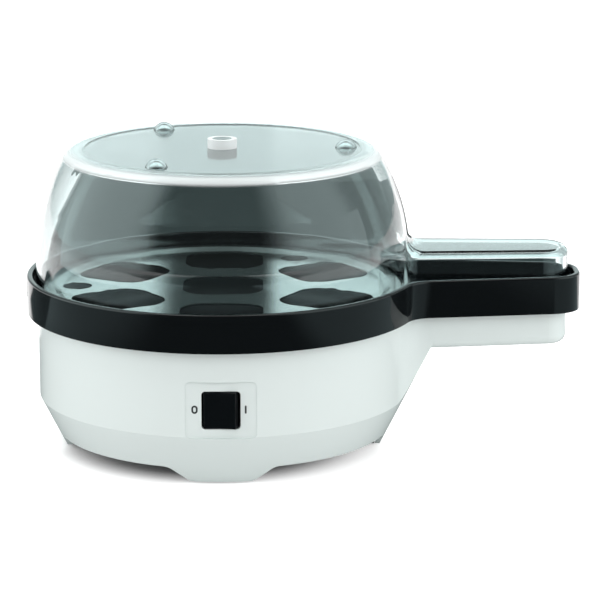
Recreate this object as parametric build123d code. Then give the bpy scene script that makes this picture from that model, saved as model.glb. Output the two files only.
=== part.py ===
from build123d import *
from math import asin, cos, radians, sin, sqrt, tan
import os

# Electric egg cooker: a round white base with a handle arm, a black ring that
# caps it, a heated steel bowl, an egg tray and a clear lid. All in millimetres.
# Heights are measured from the floor. The model is built round the ring's axis,
# with the handle towards +X and the switch towards -Y, and export() then moves
# the origin to the middle of the footprint.

# Ring and handle, seen from above
ring_radius = 95.0
handle_reach = 173.3
handle_root_half = 26.8
handle_end_half = 17.2
handle_end_round = 15.5
handle_root_round = 14.0

# Black ring
ring_bottom = 66.8
ring_top = 84.9
ring_wall = 2.8
ring_edge_round = 1.0
deck_top = 77.0
deck_thickness = 2.5
deck_ledge = 8.8
deck_rib = 1.6
deck_rib_depth = 4.5
snap_count = 6
snap_half_angle = 4.5
catch_side_angle = 1.0
snap_length = 12.4
snap_nub = 1.0
snap_nub_height = 2.4

# White housing
housing_inset = 5.2
housing_wall = 2.5
slip = 0.3
overcut = 1.0
arm_bottom = 50.0
arm_edge_round = 4.0
arm_end_setback = 1.3
web_round = 8.0
crease_height = 25.75
rim_height = 8.4
rim_draw_in = 8.7
leg_bottom = 1.0
leg_half_bottom = 14.6
leg_half_top = 25.0
leg_concave_round = 7.0
leg_convex_round = 4.5
leg_count = 4
catch_height = 2.4
catch_depth = 1.2

# Bottom cover and feet
cover_bottom = 9.2
cover_thickness = 2.3
cover_edge_gap = 0.9
pad_bottom = 0.8
pad_depth = 7.0
pad_wall = 2.0
foot_radius = 5.5
foot_height = 2.2
foot_inset = 12.1
vent_count = 8
vent_length = 18.0
vent_width = 3.0
vent_circle = 44.0

# Heated bowl and what holds it
sheet = 0.8
bowl_gap = 0.5
bowl_flange_width = 4.0
bowl_floor_top = 50.8
bowl_corner_round = 8.0
seal_offset = 1.9
seal_width = 1.6
seal_proud = 0.3
seal_depth = 0.7
strap_count = 3
strap_first_angle = 90.0
strap_thickness = 1.2
strap_width = 14.0
strap_inner_radius = 57.0
strap_screw_inset = 10.8
lug_radius = 4.6
lug_height = 3.8

# Heater
plate_radius = 52.0
plate_thickness = 6.0
element_circle = 40.0
element_tube_radius = 3.2
element_gap_half_angle = 16.0
element_bend = 6.5
element_leg = 8.0
terminal_width = 6.3
terminal_thickness = 0.8
terminal_length = 8.0
screw_hole_depth = 5.0
thermostat_radius = 8.0
thermostat_flange_radius = 10.0
thermostat_flange = 2.0
thermostat_body = 7.0
bracket_thickness = 1.2
bracket_width = 12.0
bracket_screw_half = 15.0
fuse_radius = 2.0
fuse_length = 16.0
fuse_offset = 27.0
fuse_clip_thickness = 0.8
fuse_clip_width = 6.0

# Small screws, all alike
screw_head_radius = 2.9
screw_head_height = 1.9
screw_shank_radius = 1.5
screw_length = 5.2

# Larger screws, for the bottom cover and the handle
case_screw_head_radius = 3.6
case_screw_head_height = 2.1
case_screw_shank_radius = 1.9
case_screw_length = 12.0
case_screw_inset = 9.1
case_screw_angle = 45.0
case_boss_radius = 4.2
case_boss_top = 30.0
handle_screw_reach = 140.0

# Switch
panel_width = 33.0
panel_height = 27.0
panel_corner = 2.7
panel_centre = 38.7
panel_set_in = 1.8
pad_margin = 2.0
switch_centre = 38.5
window_size = 18.0
window_corner = 1.8
rocker_height = 17.4
rocker_face_half = 7.3
rocker_side_half = 8.4
rocker_lift = 0.5
rocker_angle = 7.0
rocker_pivot_depth = 4.5
rocker_skirt = 2.0
rocker_edge_round = 0.8
pivot_pin_radius = 1.2
pivot_pin_length = 1.8
pivot_running_fit = 0.05
switch_wall = 2.5
switch_depth = 17.0
switch_well_depth = 8.5
switch_blade_spacing = 5.0
switch_blade_drop = 4.0
switch_blade_length = 8.0

# Terminal block and cord inlet
block_length = 24.0
block_width = 14.0
block_height = 11.0
block_bore_radius = 1.9
block_inset = 29.1
inlet_height = 36.0
inlet_bore_radius = 3.4
inlet_shank_radius = 5.2
inlet_flange_radius = 7.6
inlet_flange_thickness = 2.2
inlet_collar_radius = 6.4
inlet_collar_thickness = 1.6
inlet_fit = 0.1
wire_radius = 1.1
wire_bend = 7.0
lead_run = 12.0
lead_rise = 24.0
live_lead_side = 24.0
live_lead_back = 10.0
live_lead_front = 30.0
switched_lead_side = 27.0
switched_lead_front = 34.0
switched_lead_back = 4.0
element_lead_back = 18.0
return_lead_side = 16.0
neutral_lead_back = 24.0

# Egg tray
tray_sheet = 0.9
tray_floor_top = 77.3
tray_gap = 0.4
tray_slope_width = 3.1
tray_rim_inset = 0.6
egg_opening = 39.0
egg_corner = 12.0
egg_circle = 57.0
egg_count = 6
egg_first_angle = 30.0
steam_hole_radius = 7.2
steam_hole_inset = 7.6
steam_hole_count = 3
steam_hole_first_angle = 60.0

# Lid
lid_gap = 1.7
lid_arc_start = 92.0
lid_wall = 2.1
lid_cover_top = 97.2
lid_draw_in = 12.5
lid_shoulder_height = 139.0
lid_top_rise = 6.6
lid_shoulder_round = 9.0
lid_disc_inset = 11.6
lid_disc_step = 0.45
cover_root_half = 18.2
cover_end_half = 15.4
cover_end_inset = 5.9
cover_end_round = 13.5
cover_edge_round = 3.2
cover_blend = 8.0
seam_search = 0.5
vent_boss_radius = 7.1
vent_boss_height = 4.6
vent_cup_radius = 4.65
vent_cup_depth = 3.4
vent_hole_radius = 1.6
bump_radius = 5.3
bump_height = 4.0
bump_inset = 6.9
bump_count = 3

# Worked out from the sizes above
housing_radius = ring_radius - housing_inset
rim_radius = housing_radius - rim_draw_in
bowl_hole_radius = ring_radius - ring_wall - deck_ledge
bowl_inner_radius = bowl_hole_radius - bowl_gap - sheet
bowl_flange_radius = bowl_hole_radius + bowl_flange_width
seal_radius = bowl_hole_radius + seal_offset
foot_circle = rim_radius - foot_inset
pad_inner = foot_circle - pad_depth
strap_screw_circle = housing_radius - strap_screw_inset
case_screw_circle = rim_radius - case_screw_inset
block_centre_y = rim_radius - block_inset
panel_depth = housing_radius - panel_set_in
tray_slope_radius = bowl_inner_radius - tray_gap
tray_floor_radius = tray_slope_radius - tray_slope_width
tray_rim_radius = bowl_flange_radius - tray_rim_inset
steam_hole_circle = tray_floor_radius - steam_hole_inset
lid_radius = ring_radius - ring_wall - lid_gap
lid_shoulder_radius = lid_radius - lid_draw_in
lid_top = lid_shoulder_height + lid_top_rise
lid_disc_radius = lid_shoulder_radius - lid_disc_inset
bump_circle = lid_disc_radius - bump_inset
cover_reach = handle_reach - cover_end_inset
taper = (housing_radius - rim_radius) / (crease_height - rim_height)
deck_bottom = deck_top - deck_thickness
bowl_flange_bottom = deck_top + seal_proud
bowl_flange_top = bowl_flange_bottom + sheet
bowl_floor_bottom = bowl_floor_top - sheet
plate_bottom = bowl_floor_bottom - plate_thickness
cover_top_face = cover_bottom + cover_thickness
screw_well_floor = cover_bottom + case_screw_head_height + slip
case_boss_bottom = screw_well_floor + cover_thickness
strap_bottom = bowl_floor_bottom - strap_thickness
pivot_y = -(panel_depth - rocker_pivot_depth)
panel_back = panel_depth - housing_wall
switch_back = switch_depth - panel_back
element_tip = plate_bottom - element_bend - element_leg - terminal_length - slip
thermostat_tip = plate_bottom - thermostat_flange - thermostat_body - terminal_length - slip
block_port_height = cover_top_face + block_height / 2
origin_shift = Location((-(handle_reach - ring_radius) / 2, 0, 0))


def export(shape, name):
    """Write one sub-part, with the origin at the middle of the footprint."""
    export_step(origin_shift * shape, f"parts/{name}.step")


def slab(sketch, bottom, top):
    """A flat sketch raised into a solid between two heights."""
    return Pos(0, 0, bottom) * extrude(sketch, amount=top - bottom)


def lathe(points):
    """A solid turned round the ring's axis from (radius, height) corners."""
    return revolve(Plane.XZ * make_face(Polyline(*points, close=True)), Axis.Z)


def tube(outer, inner, bottom, top):
    """A plain upright ring."""
    return slab(Circle(outer) - Circle(inner), bottom, top)


def around(count, first_angle=0.0):
    """Equal turns about the ring's axis."""
    return [Rot(0, 0, first_angle + index * 360 / count) for index in range(count)]


def cone_radius(height, wall=0.0):
    """Outside radius of the housing's taper, or of its inner face."""
    return rim_radius + (height - rim_height) * taper - wall


def tapered_bar(root_reach, root_half, end_reach, end_half):
    """A bar from the axis towards +X, with its half-widths given at two reaches."""
    axis_half = root_half + (root_half - end_half) * root_reach / (end_reach - root_reach)
    return Polygon(
        (0, axis_half), (0, -axis_half), (end_reach, -end_half), (end_reach, end_half), align=None
    )


def plan_outline(inset, setback=0.0):
    """Ring and handle seen from above, drawn in by an inset, the end set back."""
    whole = Circle(ring_radius) + tapered_bar(
        ring_radius, handle_root_half, handle_reach - setback, handle_end_half
    )
    corners = whole.vertices().sort_by(Axis.X)
    whole = fillet(corners[-2:], handle_end_round)
    roots = [v for v in whole.vertices() if v.distance_to(Vertex(0, 0, 0)) < ring_radius + slip]
    whole = fillet(roots, handle_root_round)
    return offset(whole, amount=-inset) if inset else whole


def screw(head_radius, head_height, shank_radius, length):
    """A pan-head screw, head down, with its head's upper face at the origin."""
    head = slab(Circle(head_radius), -head_height, 0)
    head = fillet(head.edges().sort_by(Axis.Z)[0], head_height / 2)
    return head + slab(Circle(shank_radius), 0, length)


def small_screw():
    return screw(screw_head_radius, screw_head_height, screw_shank_radius, screw_length)


def case_screw():
    return screw(
        case_screw_head_radius, case_screw_head_height, case_screw_shank_radius, case_screw_length
    )


def arm_plan(inset):
    """The white arm is a little shorter than the black band above it."""
    return plan_outline(inset, arm_end_setback)


def base_profile(wall, bottom):
    """The housing's round body with its taper, as a solid drawn in by a wall."""
    return lathe([
        (0, bottom),
        (cone_radius(bottom, wall), bottom),
        (housing_radius - wall, crease_height),
        (housing_radius - wall, deck_bottom),
        (0, deck_bottom),
    ])


def leg_sketch(half_extra, bottom):
    """One leg's outline from the front, joined to the rim by hollow curves."""
    shoulder = leg_half_top + leg_concave_round
    top = rim_height + leg_concave_round
    outline = Polygon(
        (-shoulder - half_extra, rim_height),
        (-leg_half_top - half_extra, rim_height),
        (-leg_half_bottom - half_extra, bottom),
        (leg_half_bottom + half_extra, bottom),
        (leg_half_top + half_extra, rim_height),
        (shoulder + half_extra, rim_height),
        (shoulder + half_extra, top),
        (-shoulder - half_extra, top),
        align=None,
    )
    hollow = [v for v in outline.vertices() if abs(abs(v.X) - leg_half_top - half_extra) < 1e-6]
    outline = fillet(hollow, leg_concave_round)
    low = outline.vertices().sort_by(Axis.Y)[:2]
    return fillet(low, leg_convex_round)


def leg_prism(half_extra, bottom, start=0.0):
    """A leg's outline pushed out towards +X, from the axis or from a start."""
    face = Plane.YZ.offset(start) * leg_sketch(half_extra, bottom)
    return extrude(face, amount=ring_radius - start)


def between_legs():
    """All that is under the rim, apart from the four legs."""
    space = slab(Circle(ring_radius), 0, rim_height)
    for turn in around(leg_count):
        space -= turn * leg_prism(0, leg_bottom)
    return space


def housing_outside():
    """The housing as one solid: round body, legs and arm."""
    outer = base_profile(0, leg_bottom) - between_legs() + arm_with_web(0)
    arm_edges = [
        edge for edge in outer.edges().filter_by_position(Axis.Z, arm_bottom, arm_bottom)
        if edge.center().X > ring_radius + handle_root_half
    ]
    return fillet(arm_edges, arm_edge_round)


def make_base_housing():
    """White moulded shell: round body, handle arm, four legs and inner bosses."""
    outer = housing_outside()
    inner = base_profile(housing_wall, 0) + arm_with_web(housing_wall)
    shell = outer - inner
    shell += panel_pad() & outer
    shell += case_bosses() & outer
    shell += strap_lugs() & outer
    shell += snap_catches() & outer
    shell += handle_boss()
    shell -= panel_recess()
    shell -= case_screw_bores()
    shell -= handle_screw_bore()
    shell -= inlet_bore()
    return shell


def arm_with_web(wall):
    """Arm plus web: the taper runs on above the crease inside the arm's outline."""
    bottom = arm_bottom + wall
    inset = housing_inset + wall
    arm = slab(arm_plan(inset), bottom, deck_bottom)
    web_cone = lathe([
        (0, rim_height),
        (cone_radius(rim_height, wall), rim_height),
        (cone_radius(bottom, wall), bottom),
        (0, bottom),
    ])
    web_sides = slab(arm_plan(inset), rim_height, bottom)
    beyond = Pos(0, 0, rim_height) * Box(
        handle_reach, 2 * ring_radius, bottom, align=(Align.MIN, Align.CENTER, Align.MIN)
    )
    whole = arm + (web_cone & web_sides & beyond)
    junction = [
        edge for edge in whole.edges().filter_by_position(Axis.Z, bottom, bottom)
        if abs(edge.center().Y) < seam_search and edge.center().X < cone_radius(bottom)
    ]
    return fillet(junction, web_round - wall)


def panel_pad():
    """Thickening behind the switch panel, so that its flat has a full wall."""
    depth = panel_depth - panel_back + ring_wall
    return Pos(0, -panel_back, panel_centre) * Box(
        panel_width + 2 * pad_margin, depth, panel_height + 2 * pad_margin,
        align=(Align.CENTER, Align.MAX, Align.CENTER),
    )


def panel_recess():
    """Flat recess round the switch, with the switch's window through it."""
    face = Plane.XZ.offset(panel_depth) * Pos(0, panel_centre) * RectangleRounded(
        panel_width, panel_height, panel_corner
    )
    recess = extrude(face, amount=housing_radius)
    face = Plane.XZ.offset(panel_back - slip) * Pos(0, switch_centre) * RectangleRounded(
        window_size, window_size, window_corner
    )
    return recess + extrude(face, amount=housing_radius)


def case_bosses():
    """Screw bosses for the bottom cover, tied to the wall by a rib."""
    bosses = None
    for turn in around(leg_count, case_screw_angle):
        boss = Pos(case_screw_circle, 0) * slab(
            Circle(case_boss_radius), case_boss_bottom, case_boss_top
        )
        rib = Pos(case_screw_circle + case_boss_radius - slip, 0, case_boss_bottom) * Box(
            ring_radius - case_screw_circle, housing_wall, case_boss_top - case_boss_bottom,
            align=(Align.MIN, Align.CENTER, Align.MIN),
        )
        piece = turn * (boss + rib)
        bosses = piece if bosses is None else bosses + piece
    return bosses


def case_screw_bores():
    """The blind holes that the bottom cover's screws bite into."""
    bore = Pos(case_screw_circle, 0) * slab(
        Circle(case_screw_shank_radius), case_boss_bottom - overcut, case_boss_top - housing_wall
    )
    return Compound([turn * bore for turn in around(leg_count, case_screw_angle)])


def strap_lugs():
    """Three lugs on the wall that the bowl's straps are screwed down to."""
    lugs = None
    for turn in around(strap_count, strap_first_angle):
        outline = Pos(strap_screw_circle, 0) * Circle(lug_radius)
        outline += Pos(strap_screw_circle, 0) * Rectangle(
            ring_radius - strap_screw_circle, 2 * lug_radius, align=(Align.MIN, Align.CENTER)
        )
        outline -= Pos(strap_screw_circle, 0) * Circle(screw_shank_radius)
        lug = turn * slab(outline, strap_bottom - lug_height, strap_bottom)
        lugs = lug if lugs is None else lugs + lug
    return lugs


def snap_sector(inner, outer, bottom, top, half_angle):
    """A short arc of a ring, centred on +X."""
    section = Plane.XZ * make_face(Polyline(
        (inner, bottom), (outer, bottom), (outer, top), (inner, top), close=True
    ))
    return Rot(0, 0, -half_angle) * revolve(section, Axis.Z, 2 * half_angle)


def snap_turns():
    """The snap hooks are spread evenly, with none at the handle arm."""
    return around(snap_count)[1:]


def snap_catches():
    """Small ledges inside the wall that the ring's hooks snap under."""
    wall_inside = housing_radius - housing_wall
    catch_bottom = deck_bottom - snap_length + snap_nub_height + slip
    catches = None
    for turn in snap_turns():
        catch = turn * snap_sector(
            wall_inside - catch_depth, housing_radius,
            catch_bottom, catch_bottom + catch_height, snap_half_angle + catch_side_angle,
        )
        catches = catch if catches is None else catches + catch
    return catches


def handle_boss():
    """Post on the arm's floor for the screw that holds the ring's handle down."""
    return Pos(handle_screw_reach, 0) * slab(
        Circle(case_boss_radius + slip) - Circle(case_screw_shank_radius + slip),
        arm_bottom + housing_wall / 2, handle_post_bottom(),
    )


def handle_post_bottom():
    return arm_bottom + 2 * housing_wall + case_screw_head_height


def handle_screw_bore():
    """Recess under the arm for the screw's head, with a shank hole above it."""
    head = slab(Circle(case_screw_head_radius + slip), arm_bottom - slip, handle_screw_seat())
    shank = slab(Circle(case_screw_shank_radius + slip), arm_bottom, handle_post_bottom() + slip)
    return Pos(handle_screw_reach, 0) * (head + shank)


def handle_screw_seat():
    return arm_bottom + case_screw_head_height + slip


def inlet_bore():
    """Hole in the back wall that the cord inlet fills."""
    return inlet_cylinder(inlet_shank_radius, panel_back - housing_wall, ring_radius)


def inlet_cylinder(radius, start, end):
    """A cylinder along +Y at the inlet's height."""
    face = Plane.XZ.offset(-start) * Pos(0, inlet_height) * Circle(radius)
    return extrude(face, amount=-(end - start))


def make_bottom_cover():
    """Dark floor plate: four foot boxes, screw wells and cooling slots."""
    disc_radius = cone_radius(cover_bottom, housing_wall) - cover_edge_gap
    cover = slab(Circle(disc_radius), cover_bottom, cover_top_face)
    cover += foot_boxes()
    for turn in around(leg_count, case_screw_angle):
        place = turn * Pos(case_screw_circle, 0)
        cover += place * slab(
            Circle(case_screw_head_radius + cover_thickness), cover_bottom, case_boss_bottom
        )
        cover -= place * slab(
            Circle(case_screw_head_radius + slip), cover_bottom - overcut, screw_well_floor
        )
        cover -= place * slab(Circle(case_screw_shank_radius + slip), cover_bottom, case_boss_bottom)
    slot = SlotOverall(vent_length, vent_width)
    for turn in around(vent_count):
        cover -= turn * Pos(vent_circle, 0) * slab(slot, cover_bottom - overcut, cover_top_face + overcut)
    return cover


def foot_box(shrink, bottom, top):
    """The space behind one leg's skirt, drawn in by a wall."""
    body = lathe([
        (0, bottom),
        (cone_radius(bottom, housing_wall + slip + shrink), bottom),
        (cone_radius(top, housing_wall + slip + shrink), top),
        (0, top),
    ])
    return body & leg_prism(-slip - shrink, bottom, pad_inner + shrink)


def foot_boxes():
    """Hollow boxes that fill the legs from behind and carry the rubber feet."""
    outer = foot_box(0, pad_bottom, cover_bottom + slip)
    inner = foot_box(pad_wall, foot_height + pad_wall, cover_top_face + overcut)
    foot_hole = Pos(foot_circle, 0) * slab(Circle(foot_radius + slip / 3), 0, foot_height)
    box = outer - inner - foot_hole
    boxes = None
    for turn in around(leg_count):
        boxes = turn * box if boxes is None else boxes + turn * box
    return boxes


def make_rubber_feet():
    foot = Pos(foot_circle, 0) * slab(Circle(foot_radius), 0, foot_height)
    foot = chamfer(foot.edges().sort_by(Axis.Z)[0], slip)
    return Compound([turn * foot for turn in around(leg_count)])


def make_case_screws():
    """Four screws for the bottom cover and one for the handle, all alike."""
    screws = [
        turn * Pos(case_screw_circle, 0, screw_well_floor) * case_screw()
        for turn in around(leg_count, case_screw_angle)
    ]
    screws.append(Pos(handle_screw_reach, 0, handle_screw_seat()) * case_screw())
    return Compound(screws)


def make_collar():
    """Black ring: outer band, deck with the bowl's hole, hooks and a screw post."""
    band = slab(plan_outline(0), ring_bottom, ring_top)
    band -= slab(plan_outline(ring_wall), deck_top, ring_top)
    band -= slab(plan_outline(housing_inset - slip), ring_bottom, deck_bottom)
    top_edges = band.edges().filter_by_position(Axis.Z, ring_top, ring_top)
    band = fillet(top_edges, ring_edge_round)
    rib_inset = housing_inset + housing_wall + catch_depth + slip
    rib = plan_outline(rib_inset) - plan_outline(rib_inset + deck_rib)
    band += slab(rib, deck_bottom - deck_rib_depth, deck_bottom)
    band += handle_post()
    band += snap_hooks()
    band -= slab(Circle(bowl_hole_radius), deck_bottom - deck_rib_depth, ring_top)
    band -= seal_groove()
    return band


def handle_post():
    """Post under the deck that the handle's screw bites into."""
    return Pos(handle_screw_reach, 0) * slab(
        Circle(case_boss_radius) - Circle(case_screw_shank_radius), handle_post_bottom(), deck_bottom
    )


def snap_hooks():
    """Hooks that hang from the deck and snap under the housing's ledges."""
    outer = housing_radius - housing_wall - catch_depth - slip
    inner = outer - deck_rib
    low = deck_bottom - snap_length
    hooks = None
    for turn in snap_turns():
        hook = snap_sector(inner, outer, low, deck_bottom, snap_half_angle)
        hook += snap_sector(inner, outer + snap_nub, low, low + snap_nub_height, snap_half_angle)
        hooks = turn * hook if hooks is None else hooks + turn * hook
    return hooks


def seal_groove():
    return tube(
        seal_radius + seal_width / 2, seal_radius - seal_width / 2, deck_top - seal_depth, deck_top
    )


def make_bowl_seal():
    """Silicone ring between the deck and the bowl's flange."""
    return tube(
        seal_radius + seal_width / 2, seal_radius - seal_width / 2,
        deck_top - seal_depth, bowl_flange_bottom,
    )


def make_heating_bowl():
    """Drawn steel bowl with a flat flange and a rounded corner at its floor."""
    outer_radius = bowl_inner_radius + sheet
    section = Polyline(
        (0, bowl_floor_bottom), (outer_radius, bowl_floor_bottom), (outer_radius, bowl_flange_bottom),
        (bowl_flange_radius, bowl_flange_bottom), (bowl_flange_radius, bowl_flange_top),
        (bowl_inner_radius, bowl_flange_top), (bowl_inner_radius, bowl_floor_top),
        (0, bowl_floor_top), close=True,
    )
    face = make_face(section)
    outside = face.vertices().sort_by_distance((outer_radius, bowl_floor_bottom))[0]
    face = fillet(outside, bowl_corner_round + sheet)
    inside = face.vertices().sort_by_distance((bowl_inner_radius, bowl_floor_top))[0]
    face = fillet(inside, bowl_corner_round)
    return revolve(Plane.XZ * face, Axis.Z)


def make_bowl_straps():
    """Three steel straps welded under the bowl and screwed to the housing."""
    reach = strap_screw_circle + lug_radius - strap_inner_radius
    outline = Pos(strap_inner_radius + reach / 2, 0) * SlotOverall(reach, strap_width)
    outline -= Pos(strap_screw_circle, 0) * Circle(screw_shank_radius)
    strap = slab(outline, strap_bottom, bowl_floor_bottom)
    return Compound([turn * strap for turn in around(strap_count, strap_first_angle)])


def make_small_screws():
    """Identical screws: three for the straps, two for the bracket, one for the fuse clip."""
    low = strap_bottom - lug_height
    screws = [
        turn * Pos(strap_screw_circle, 0, low) * small_screw()
        for turn in around(strap_count, strap_first_angle)
    ]
    for side in (-1, 1):
        screws.append(Pos(side * bracket_screw_half, 0, bracket_bottom()) * small_screw())
    screws.append(Pos(fuse_screw_x(), -fuse_offset, plate_bottom - fuse_clip_thickness) * small_screw())
    return Compound(screws)


def fuse_screw_x():
    return fuse_radius + fuse_clip_thickness + screw_head_radius + slip


def bracket_bottom():
    return plate_bottom - thermostat_flange - bracket_thickness


def screw_hole(x, y):
    """Blind hole in the heater plate, up from its lower face."""
    return Pos(x, y) * slab(
        Circle(screw_shank_radius), plate_bottom - plate_thickness, plate_bottom + screw_hole_depth
    )


def make_element_plate():
    """Cast plate under the bowl: a groove for the element and two bracket feet."""
    plate = slab(Circle(plate_radius), plate_bottom, bowl_floor_bottom)
    groove_section = Plane.XZ * Pos(element_circle, plate_bottom) * Circle(
        element_tube_radius + pivot_running_fit
    )
    plate -= revolve(groove_section, Axis.Z)
    for side in (-1, 1):
        foot = Pos(side * bracket_screw_half, 0) * slab(
            Circle(screw_head_radius + bracket_thickness), plate_bottom - thermostat_flange, plate_bottom
        )
        plate += foot
        plate -= screw_hole(side * bracket_screw_half, 0)
    plate -= screw_hole(fuse_screw_x(), -fuse_offset)
    return plate


def element_end(side):
    """One turned-down end of the element, at one side of the gap."""
    bend_face = Pos(element_circle, 0, plate_bottom) * (Plane.XZ * Circle(element_tube_radius))
    bend_axis = Axis((element_circle, 0, plate_bottom - element_bend), (-1, 0, 0))
    elbow = revolve(bend_face, bend_axis, 90)
    leg = Pos(element_circle, element_bend, plate_bottom - element_bend - element_leg) * slab(
        Circle(element_tube_radius), 0, element_leg
    )
    end = elbow + leg
    return end if side > 0 else mirror(end, Plane.XZ)


def make_heating_element():
    """Tubular element: most of a ring, with both ends turned down."""
    section = Plane.XZ * Pos(element_circle, plate_bottom) * Circle(element_tube_radius)
    sweep_angle = 360 - 2 * element_gap_half_angle
    start = 90 + element_gap_half_angle
    ring = Rot(0, 0, start) * revolve(section, Axis.Z, sweep_angle)
    first = Rot(0, 0, start) * element_end(-1)
    last = Rot(0, 0, start + sweep_angle) * element_end(1)
    return ring + first + last


def element_leg_places():
    """Where the two turned-down ends stand."""
    start = 90 + element_gap_half_angle
    places = []
    for angle, side in ((start, -1), (start - 2 * element_gap_half_angle, 1)):
        places.append(Rot(0, 0, angle) * Pos(element_circle, side * element_bend))
    return places


def make_element_terminals():
    """Flat blades on the element's two ends."""
    blade = Pos(0, 0, element_tip + slip) * Box(
        terminal_width, terminal_thickness, terminal_length, align=(Align.CENTER, Align.CENTER, Align.MIN)
    )
    return Compound([place * blade for place in element_leg_places()])


def make_thermostat():
    """Disc thermostat held against the middle of the heater plate."""
    body_top = plate_bottom - thermostat_flange
    body = slab(Circle(thermostat_flange_radius), body_top, plate_bottom)
    body += slab(Circle(thermostat_radius), body_top - thermostat_body, body_top)
    for side in (-1, 1):
        body += Pos(0, side * thermostat_radius / 2, body_top - thermostat_body - terminal_length) * Box(
            terminal_width, terminal_thickness, terminal_length,
            align=(Align.CENTER, Align.CENTER, Align.MIN),
        )
    return body


def make_thermostat_bracket():
    """Steel strap that presses the thermostat's flange to the plate."""
    length = 2 * (bracket_screw_half + screw_head_radius + bracket_thickness)
    outline = SlotOverall(length, bracket_width) + Circle(thermostat_flange_radius)
    outline -= Circle(thermostat_radius + slip / 2)
    for side in (-1, 1):
        outline -= Pos(side * bracket_screw_half, 0) * Circle(screw_shank_radius)
    return slab(outline, bracket_bottom(), bracket_bottom() + bracket_thickness)


def make_thermal_fuse():
    """Thermal fuse lying along the underside of the heater plate."""
    face = Plane.XZ.offset(fuse_offset) * Pos(0, plate_bottom - fuse_radius) * Circle(fuse_radius)
    return extrude(face, amount=fuse_length / 2, both=True)


def make_fuse_clip():
    """P-shaped clip that holds the fuse, screwed to the plate."""
    outer = fuse_radius + fuse_clip_thickness
    loop = Pos(0, -fuse_radius) * (Circle(outer) - Circle(fuse_radius + pivot_running_fit))
    loop -= Rectangle(2 * fuse_screw_x(), 2 * outer, align=(Align.CENTER, Align.MIN))
    tab_length = fuse_screw_x() + screw_head_radius - fuse_radius
    tab = Pos(fuse_radius + pivot_running_fit, 0) * Rectangle(
        tab_length, fuse_clip_thickness, align=(Align.MIN, Align.MAX)
    )
    face = Plane.XZ.offset(fuse_offset) * Pos(0, plate_bottom) * (loop + tab)
    clip = extrude(face, amount=fuse_clip_width / 2, both=True)
    hole = Pos(fuse_screw_x(), -fuse_offset) * slab(
        Circle(screw_shank_radius), plate_bottom - 2 * fuse_clip_thickness, plate_bottom
    )
    return clip - hole


def make_switch_housing():
    """Body of the rocker switch, against the back of the panel."""
    width = window_size + 2 * switch_wall
    block = switch_box(width, width, 0, switch_depth)
    block -= switch_box(window_size, window_size, -slip, switch_well_depth)
    pin_hole = Pos(0, pivot_y, switch_centre) * Cylinder(
        pivot_pin_radius + pivot_running_fit, window_size + 2 * pivot_pin_length
    )
    return block - pin_hole


def switch_box(width, height, start, end):
    """A box behind the panel, between two depths from the panel's back face."""
    return Pos(0, -panel_back + start, switch_centre) * Box(
        width, end - start, height, align=(Align.CENTER, Align.MIN, Align.CENTER)
    )


def make_switch_terminals():
    """Two blades on the back of the switch."""
    blades = []
    for side in (-1, 1):
        place = Pos(side * switch_blade_spacing, switch_back, switch_centre - switch_blade_drop)
        blades.append(place * Box(
            terminal_thickness, switch_blade_length, terminal_width,
            align=(Align.CENTER, Align.MIN, Align.CENTER),
        ))
    return Compound(blades)


def make_switch_rocker():
    """Black rocker with a hollow face and pivot pins, shown with its off side in."""
    facet_drop = rocker_face_half * tan(radians(rocker_angle))
    facet_distance = rocker_pivot_depth + rocker_lift
    middle = facet_distance / cos(radians(rocker_angle))
    edge = middle + facet_drop
    outline = Polygon(
        (-rocker_face_half, edge), (0, middle), (rocker_face_half, edge),
        (rocker_side_half, pivot_pin_radius), (rocker_side_half - slip, -rocker_skirt),
        (slip - rocker_side_half, -rocker_skirt), (-rocker_side_half, pivot_pin_radius),
        align=None,
    )
    cap = extrude(outline, amount=rocker_height / 2, both=True)
    face_edges = [
        e for e in cap.edges()
        if e.center().Y > middle + facet_drop / 4 and abs(e.center().X) > slip
    ]
    cap = fillet(face_edges, rocker_edge_round)
    cap += Cylinder(pivot_pin_radius, rocker_height + 2 * pivot_pin_length)
    facing_front = Rot(0, 0, 180)
    return Pos(0, pivot_y, switch_centre) * Rot(0, 0, -rocker_angle) * facing_front * cap


def make_terminal_block():
    """Three-way terminal block that stands on the bottom cover."""
    block = Pos(0, block_centre_y, cover_top_face) * Box(
        block_length, block_width, block_height, align=(Align.CENTER, Align.CENTER, Align.MIN)
    )
    for side in (-1, 0, 1):
        bore = Pos(side * block_length / 3, block_centre_y, cover_top_face + block_height / 2) * Rot(
            90, 0, 0
        ) * Cylinder(block_bore_radius, block_width)
        block -= bore
    return block


def make_cord_inlet():
    """Rubber bush in the back wall, with its bore open: the cord is left out."""
    outside = housing_radius
    inside = housing_radius - housing_wall
    flange = inlet_cylinder(inlet_flange_radius, inside, outside + inlet_flange_thickness)
    flange -= slab(Circle(outside), 0, ring_top)
    inner = inlet_cylinder(inlet_collar_radius, inside - inlet_collar_thickness - slip, inside)
    inner &= slab(Circle(inside), 0, ring_top)
    shank = inlet_cylinder(inlet_shank_radius - inlet_fit, inside - inlet_collar_thickness, outside)
    bore = inlet_cylinder(inlet_bore_radius, inside - 2 * inlet_collar_thickness, ring_radius)
    return flange + inner + shank - bore


def wire(points):
    """An insulated lead along straight runs joined by bends."""
    path = FilletPolyline(*points, radius=wire_bend)
    section = Plane(origin=path @ 0, z_dir=path % 0) * Circle(wire_radius)
    return sweep(section, path=path)


def block_port(side):
    """Front mouth of one bore of the terminal block."""
    return (side * block_length / 3, block_centre_y - block_width / 2 - slip, block_port_height)


def switch_port(side, gap):
    """On the line of one blade of the switch, a gap beyond its tip."""
    tip = switch_back + switch_blade_length + gap
    return (side * switch_blade_spacing, tip, switch_centre - switch_blade_drop)


def element_port(side, height):
    """Under one of the element's two turned-down ends."""
    place = element_leg_places()[side].position
    return (place.X, place.Y, height)


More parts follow.
